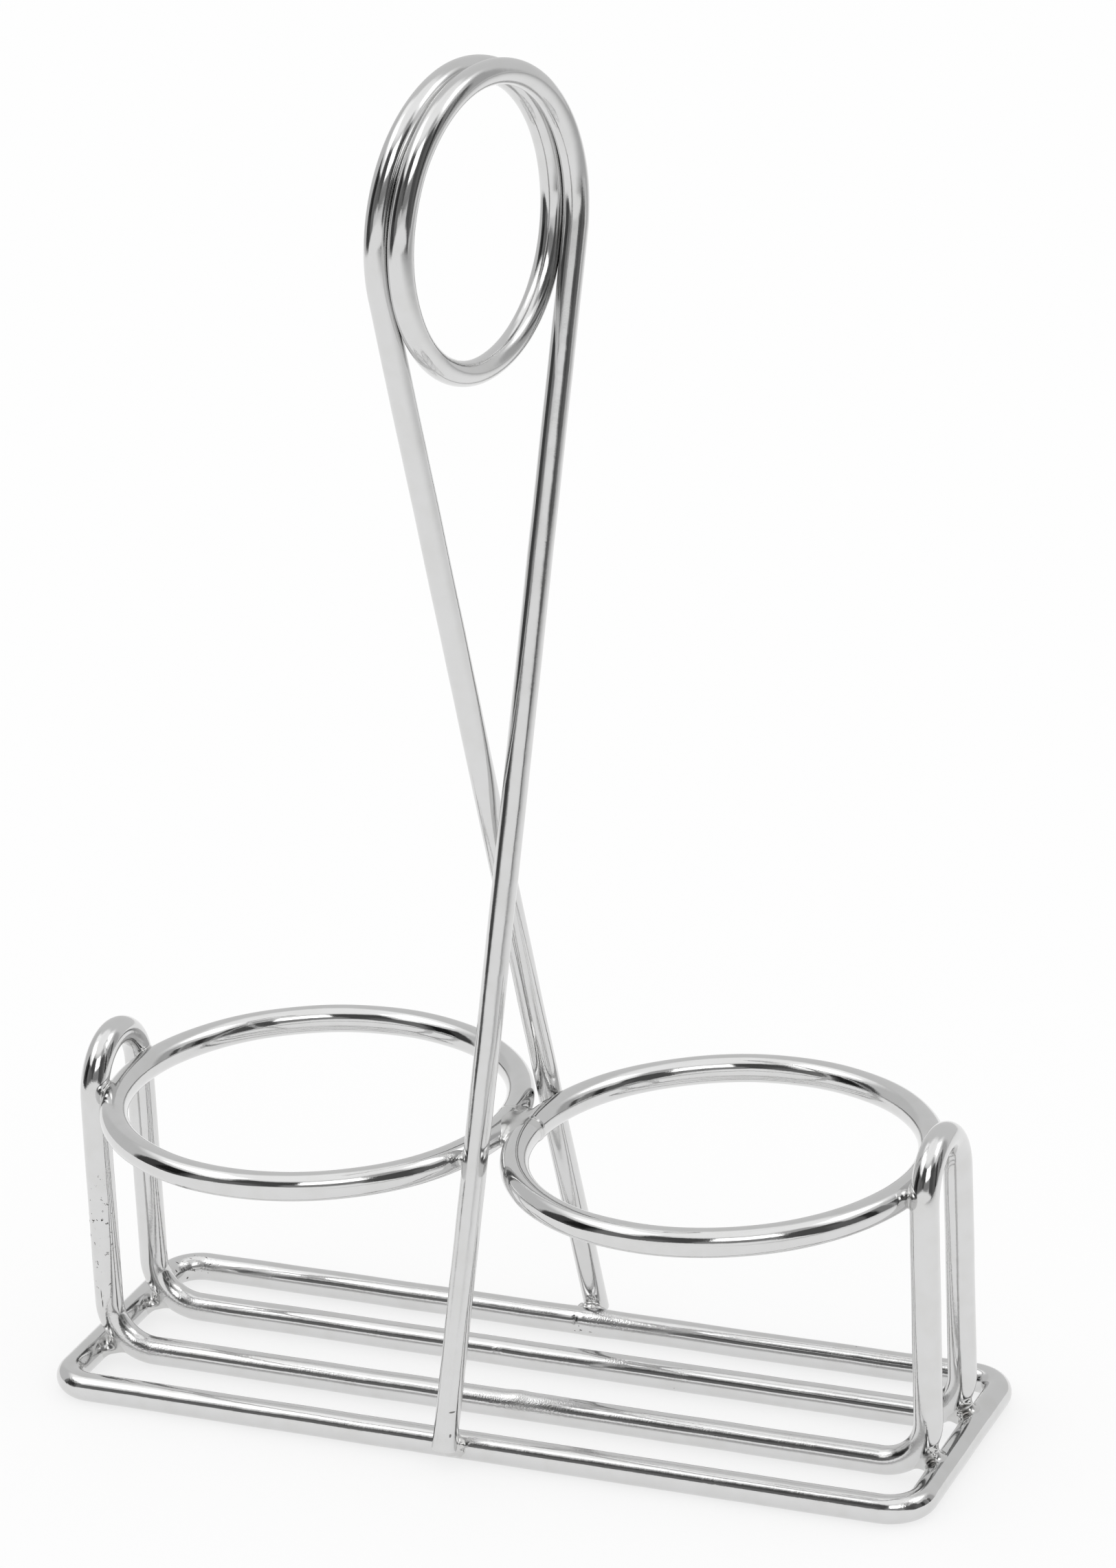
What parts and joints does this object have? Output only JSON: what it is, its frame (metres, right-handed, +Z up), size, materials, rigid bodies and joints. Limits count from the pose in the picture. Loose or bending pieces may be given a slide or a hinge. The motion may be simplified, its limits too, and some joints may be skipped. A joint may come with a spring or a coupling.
{
  "type": "salt and pepper rack",
  "caption": "Chrome-plated bent wire rack with two round shaker rings over a wire base and saddle rails, carried by a tall looped wire handle.",
  "frame": {"origin": "centre of the footprint, on the table that the base ring stands on", "axes": "+X runs along the rack from the left ring to the right ring, +Y runs to the back rail, +Z is up to the finger loop"},
  "size_m": [0.1298, 0.0606, 0.1907],
  "materials": {
    "frame_wire": "polished chrome plate, lightly scuffed",
    "ring_wire": "polished chrome plate",
    "handle_wire": "polished chrome plate",
    "weld_bead": "plated weld metal, slightly rough"
  },
  "bodies": {
    "root": {"base_ring": "frame_wire", "saddle_wire": "frame_wire", "left_ring": "ring_wire", "right_ring": "ring_wire", "handle_wire": "handle_wire", "base_butt_weld": "weld_bead", "saddle_butt_weld": "weld_bead", "saddle_weld_left_front": "weld_bead", "saddle_weld_left_rear": "weld_bead", "saddle_weld_right_front": "weld_bead", "saddle_weld_right_rear": "weld_bead", "ring_weld_left_front": "weld_bead", "ring_weld_left_rear": "weld_bead", "ring_weld_right_front": "weld_bead", "ring_weld_right_rear": "weld_bead", "centre_ring_weld": "weld_bead", "front_leg_weld": "weld_bead", "rear_leg_weld": "weld_bead", "front_foot_weld": "weld_bead", "rear_foot_weld": "weld_bead"}
  },
  "joints": []
}
